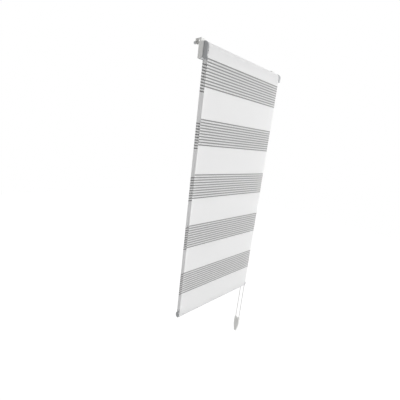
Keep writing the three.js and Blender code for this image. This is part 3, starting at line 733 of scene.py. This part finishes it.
def bead_shape(radius, sides, rings):
    """A ball's points and faces about its own centre."""
    verts = [Vector((0, 0, radius))]
    for r in range(1, rings):
        tilt = math.pi * r / rings
        for s in range(sides):
            turn = 2 * math.pi * s / sides
            verts.append(
                radius
                * Vector(
                    (
                        math.sin(tilt) * math.cos(turn),
                        math.sin(tilt) * math.sin(turn),
                        math.cos(tilt),
                    )
                )
            )
    verts.append(Vector((0, 0, -radius)))
    faces = [(0, 1 + s, 1 + (s + 1) % sides) for s in range(sides)]
    for r in range(rings - 2):
        a, b = 1 + r * sides, 1 + (r + 1) * sides
        for s in range(sides):
            t = (s + 1) % sides
            faces.append((a + s, b + s, b + t, a + t))
    base, tip = 1 + (rings - 2) * sides, len(verts) - 1
    faces += [(tip, base + (s + 1) % sides, base + s) for s in range(sides)]
    return verts, faces


def rod_shape(radius, half_length, sides):
    """A short closed rod's points and faces about its own centre, along Z."""
    verts = []
    for z in (-half_length, half_length):
        for s in range(sides):
            turn = 2 * math.pi * s / sides
            verts.append(Vector((radius * math.cos(turn), radius * math.sin(turn), z)))
    faces = [(s, (s + 1) % sides, sides + (s + 1) % sides, sides + s) for s in range(sides)]
    faces.append(tuple(reversed(range(sides))))
    faces.append(tuple(range(sides, 2 * sides)))
    return verts, faces


def give(piece, material):
    """Gives a new piece its one material."""
    piece.data.materials.append(material)


# Operators


class BLIND_OT_stage(bpy.types.Operator):
    """Sets the camera, the lights, the floor and the white background"""

    bl_idname = "blind.stage"
    bl_label = "Stage"

    def execute(self, context):
        stage = context.scene.blind_stage
        scene = context.scene
        scene.view_settings.view_transform = "Standard"

        camera = bpy.data.cameras.new("camera")
        camera.lens = CAMERA_LENS
        camera.sensor_width = SENSOR
        camera.clip_start = CAMERA_NEAR
        camera_object = bpy.data.objects.new("camera", camera)
        scene.collection.objects.link(camera_object)
        turn = Matrix((CAMERA_RIGHT, CAMERA_UP, CAMERA_BACK)).transposed()
        camera_object.matrix_world = Matrix.Translation(CAMERA_PLACE) @ turn.to_4x4()
        scene.camera = camera_object

        light = bpy.data.lights.new("key", "AREA")
        light.shape = "RECTANGLE"
        light.size = KEY_WIDTH
        light.size_y = KEY_HEIGHT
        light.energy = stage.key
        key = bpy.data.objects.new("key", light)
        scene.collection.objects.link(key)
        key.location = KEY_PLACE
        aim = Vector(KEY_AIM) - key.location
        key.rotation_mode = "QUATERNION"
        key.rotation_quaternion = aim.to_track_quat("-Z", "Y")

        world = bpy.data.worlds.new("studio")
        scene.world = world
        world.use_nodes = True
        tree = world.node_tree
        tree.nodes.clear()
        seen = in_view(tree)
        white = add(tree, "ShaderNodeBackground", {"Color": WHITE, "Strength": 1.0})
        towards = add(tree, "ShaderNodeTexCoord").outputs["Generated"]
        lean = add(
            tree, "ShaderNodeVectorMath", {0: towards, 1: stage.slant}, operation="DOT_PRODUCT"
        )
        strength = calc(tree, "MULTIPLY_ADD", lean.outputs["Value"], stage.ambient, stage.ambient)
        even = add(tree, "ShaderNodeBackground", {"Color": WHITE, "Strength": strength})
        mixed = add(
            tree,
            "ShaderNodeMixShader",
            {0: seen, 1: even.outputs[0], 2: white.outputs[0]},
        )
        output = add(tree, "ShaderNodeOutputWorld")
        tree.links.new(mixed.outputs[0], output.inputs["Surface"])

        mesh = bpy.data.meshes.new("floor")
        corners = ((-1, -1), (1, -1), (1, 1), (-1, 1))
        mesh.from_pydata(
            [(x * FLOOR_REACH, y * FLOOR_REACH, stage.floor) for x, y in corners],
            [],
            [(0, 1, 2, 3)],
        )
        floor = bpy.data.objects.new("floor", mesh)
        scene.collection.objects.link(floor)
        material, tree, output = new_material("floor_paper")
        # Plain matt paper that looks white and still takes the blind's soft shadow
        matt = add(tree, "ShaderNodeBsdfDiffuse", {"Color": linear("D2D2D2")})
        shaded = add(tree, "ShaderNodeBsdfDiffuse", {"Color": WHITE})
        bright = add(tree, "ShaderNodeEmission", {"Color": WHITE, "Strength": PAPER_GLOW})
        white = add(
            tree,
            "ShaderNodeMixShader",
            {0: PAPER_GLOW_SHARE, 1: shaded.outputs[0], 2: bright.outputs[0]},
        )
        show(
            tree,
            output,
            add(
                tree,
                "ShaderNodeMixShader",
                {0: in_view(tree), 1: matt.outputs[0], 2: white.outputs[0]},
            ),
        )
        give(floor, material)
        return {"FINISHED"}


class BLIND_OT_bead_chain(bpy.types.Operator):
    """Threads the endless bead chain over the wheel and through its weight"""

    bl_idname = "blind.bead_chain"
    bl_label = "Bead chain"

    def execute(self, context):
        chain = context.scene.blind_chain
        path = chain_path(chain.pitch / 2)
        places, length = along_path(path, chain.pitch)
        ball, ball_faces = bead_shape(chain.bead / 2, BEAD_SIDES, BEAD_RINGS)
        gap = chain.pitch - chain.bead
        rod, rod_faces = rod_shape(chain.thread / 2, gap * ROD_REACH, ROD_SIDES)
        verts, faces = [], []
        for i, (point, direction) in enumerate(places):
            nearby = places[(i + 1) % len(places)][0]
            turn = direction.to_track_quat("Z", "X")
            link = (nearby - point).to_track_quat("Z", "X")
            base = len(verts)
            verts += [point + turn @ v for v in ball]
            faces += [tuple(base + k for k in face) for face in ball_faces]
            base = len(verts)
            middle = (point + nearby) / 2
            verts += [middle + link @ v for v in rod]
            faces += [tuple(base + k for k in face) for face in rod_faces]
        mesh = bpy.data.meshes.new("bead_chain")
        mesh.from_pydata([tuple(v) for v in verts], [], faces)
        piece = finish_mesh("bead_chain", mesh)
        # Moulded acetal beads: off-white and rather glossy
        give(piece, moulded("moulded_acetal", chain.colour, roughness=0.3, edge=0.1))
        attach(piece, "frame")
        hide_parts("chain_front", "chain_rear", "chain_over", "chain_bottom")
        carried = [
            softened(name, CHAIN_ROUNDING, sliver=CHAIN_SLIVER, clamp=False) for name in ON_CHAIN
        ]
        for form, name in zip(carried, ON_CHAIN):
            stand_in(form, name)
        return {"FINISHED"}


class BLIND_OT_front_cloth(bpy.types.Operator):
    """Hangs the front layer from the roll to the bottom bar"""

    bl_idname = "blind.front_cloth"
    bl_label = "Front layer"

    def execute(self, context):
        cloth = context.scene.blind_cloth
        line = straight((FRONT_Y, AXIS_Z), (FRONT_Y, LOOP_TOP), LAYER_ROWS)
        piece = cloth_strip("front_cloth", line, 0.0, CLOTH_COLUMNS, FRONT_RIPPLE)
        give(piece, banded_cloth("woven_polyester_front", cloth.front_first))
        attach(piece, "frame")
        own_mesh(piece)
        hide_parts("front_sheet")
        return {"FINISHED"}


class BLIND_OT_back_cloth(bpy.types.Operator):
    """Hangs the back layer from the rear rail to the bottom bar"""

    bl_idname = "blind.back_cloth"
    bl_label = "Back layer"

    def execute(self, context):
        cloth = context.scene.blind_cloth
        bottom_y = 2 * BAR_Y - FRONT_Y
        line = straight((HEM_Y, HEM_Z), (bottom_y, LOOP_TOP), LAYER_ROWS)
        piece = cloth_strip("back_cloth", line, AXIS_Z - HEM_Z, CLOTH_COLUMNS, BACK_RIPPLE)
        give(piece, banded_cloth("woven_polyester_back", cloth.back_first))
        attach(piece, "frame")
        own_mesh(piece)
        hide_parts("back_sheet")
        return {"FINISHED"}


class BLIND_OT_loop_cloth(bpy.types.Operator):
    """Folds the cloth round the bottom bar"""

    bl_idname = "blind.loop_cloth"
    bl_label = "Fold round the bar"

    def execute(self, context):
        cloth = context.scene.blind_cloth
        radius = BAR_Y - FRONT_Y
        centre = CLOTH_BOTTOM + radius + cloth.thickness / 2
        line = straight((FRONT_Y, LOOP_TOP), (FRONT_Y, centre), BAR_SIDE_ROWS)
        for i in range(1, BAR_FOLD_ROWS):
            angle = math.pi + math.pi * i / BAR_FOLD_ROWS
            line.append((BAR_Y + radius * math.cos(angle), centre + radius * math.sin(angle)))
        rear = BAR_Y + radius
        line += straight((rear, centre), (rear, LOOP_TOP), BAR_SIDE_ROWS)
        piece = cloth_strip("loop_cloth", line, AXIS_Z - LOOP_TOP, CLOTH_COLUMNS)
        give(piece, banded_cloth("woven_polyester_fold", cloth.front_first, solid_only=True))
        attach(piece, "bottom_bar")
        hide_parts("bottom_loop")
        return {"FINISHED"}


class BLIND_OT_wound_cloth(bpy.types.Operator):
    """Winds the rest of the cloth on the tube, turn over turn"""

    bl_idname = "blind.wound_cloth"
    bl_label = "Wound cloth"

    def execute(self, context):
        cloth = context.scene.blind_cloth
        outer = AXIS_Y - FRONT_Y
        step = cloth.thickness + TURN_GAP
        turns = math.floor((outer - TUBE_RADIUS - TUBE_GAP) / step)
        line = []
        for i in range(turns * TURN_ROWS + 1):
            radius = outer - step * i / TURN_ROWS
            angle = math.pi - 2 * math.pi * i / TURN_ROWS
            line.append((AXIS_Y + radius * math.cos(angle), AXIS_Z + radius * math.sin(angle)))
        length = sum(math.dist(a, b) for a, b in zip(line, line[1:]))
        line.reverse()
        piece = cloth_strip("wound_cloth", line, -length)
        give(piece, banded_cloth("woven_polyester_roll", cloth.front_first, solid_only=True))
        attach(piece, "roller")
        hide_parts("fabric_roll")
        return {"FINISHED"}


class BLIND_OT_finishes(bpy.types.Operator):
    """Gives the moulded, metal and soft parts their finishes"""

    bl_idname = "blind.finishes"
    bl_label = "Finishes"

    def execute(self, context):
        finish = context.scene.blind_finish
        # Moulded ABS: clean white with a satin gloss that drifts a little
        white = moulded("white_abs", finish.white, roughness=0.4)
        # Moulded, glass-filled nylon, fine in grain. Its duller grey is partly the nylon's own
        # colour and partly painted shade, which darkens the housings and caps where their sides
        # turn away from the light
        grey = moulded("grey_nylon_with_painted_shade", finish.grey, roughness=0.5)
        # Moulded soft PVC: matt, with hardly a highlight
        pad = moulded("pad_pvc", finish.pad, roughness=0.75)
        # Extruded aluminium: pale, with die lines along its length
        extruded = metal("extruded_aluminium", "D2D4D6", roughness=0.34, stretch=30.0)
        # Zinc-plated steel: darker, with a fine even speckle
        plated = metal("zinc_plated_steel", "B4B6B8", roughness=0.32, stretch=1.0)
        # Powder-coated bent steel: white, smoother than the plastic beside it
        coated = moulded("powder_coated_steel", finish.white, roughness=0.35, edge=0.3)
        # Drawn spring wire: dark and bright-lined
        wire = metal("spring_wire", "8C8E92", roughness=0.28, stretch=6.0)
        # Moulded clear polycarbonate: the beads show through it
        clear = clear_plastic("clear_polycarbonate")
        by_slot = {
            "white_plastic": white,
            "grey_plastic": grey,
            "soft_pad": pad,
            "aluminium": extruded,
            "steel": plated,
            "white_steel": coated,
            "spring_steel": wire,
            "clear_plastic": clear,
            "chain_plastic": white,
            "cloth": white,
        }
        # Moulded nylon again, in the guard's paler grey
        by_node = {"chain_guard": moulded("pale_nylon", finish.guard, roughness=0.5)}
        for name, slot in SLOTS.items():
            for place in frame["nodes"][name].material_slots:
                place.material = by_node.get(name, by_slot[slot])
        return {"FINISHED"}


class BLIND_OT_rounded_parts(bpy.types.Operator):
    """Rounds the edges of the moulded, bent and extruded parts that show"""

    bl_idname = "blind.rounded_parts"
    bl_label = "Rounded parts"

    def execute(self, context):
        for name, edge in ROUNDED.items():
            sharp = HOUSING_SHARP if name == "idler_housing" else SHARP
            stand_in(softened(name, edge * MM, sharp=sharp), name)
        return {"FINISHED"}


class BLIND_OT_idler_coil(bpy.types.Operator):
    """Puts a smooth-shaded copy of the idler pin's spring, with a mesh of its own, in its place;
    the real spring shortens as the pin is pushed in
    """

    bl_idname = "blind.idler_coil"
    bl_label = "Idler spring"

    def execute(self, context):
        mesh = frame["nodes"]["idler_spring"].data.copy()
        mesh.materials.clear()
        piece = finish_mesh("idler_coil", mesh)
        stand_in(piece, "idler_spring")
        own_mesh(piece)
        return {"FINISHED"}


class BLIND_PT_panel(bpy.types.Panel):
    """Lists the blind's pieces"""

    bl_idname = "BLIND_PT_panel"
    bl_label = "Double roller blind"
    bl_space_type = "VIEW_3D"
    bl_region_type = "UI"
    bl_category = "Blind"

    def draw(self, context):
        for operator in OPERATORS:
            self.layout.operator(operator.bl_idname)
        for group in GROUPS:
            settings = getattr(context.scene, group)
            for key in settings.__annotations__:
                self.layout.prop(settings, key)


OPERATORS = (
    BLIND_OT_stage,
    BLIND_OT_finishes,
    BLIND_OT_bead_chain,
    BLIND_OT_front_cloth,
    BLIND_OT_back_cloth,
    BLIND_OT_loop_cloth,
    BLIND_OT_wound_cloth,
    BLIND_OT_rounded_parts,
    BLIND_OT_idler_coil,
)
GROUPS = {
    "blind_cloth": ClothSettings,
    "blind_chain": ChainSettings,
    "blind_finish": FinishSettings,
    "blind_stage": StageSettings,
}


def register():
    """Registers the settings, the operators and the panel."""
    for name, group in GROUPS.items():
        bpy.utils.register_class(group)
        setattr(bpy.types.Scene, name, bpy.props.PointerProperty(type=group))
    for operator in OPERATORS:
        bpy.utils.register_class(operator)
    bpy.utils.register_class(BLIND_PT_panel)


def unregister():
    """Takes them away again."""
    bpy.utils.unregister_class(BLIND_PT_panel)
    for operator in reversed(OPERATORS):
        bpy.utils.unregister_class(operator)
    for name, group in GROUPS.items():
        delattr(bpy.types.Scene, name)
        bpy.utils.unregister_class(group)


def main():
    """Registers the add-on and builds every piece in order."""
    register()
    bpy.ops.blind.stage()
    bpy.ops.blind.finishes()
    bpy.ops.blind.bead_chain()
    bpy.ops.blind.front_cloth()
    bpy.ops.blind.back_cloth()
    bpy.ops.blind.loop_cloth()
    bpy.ops.blind.wound_cloth()
    bpy.ops.blind.rounded_parts()
    bpy.ops.blind.idler_coil()


if __name__ == "__main__":
    main()
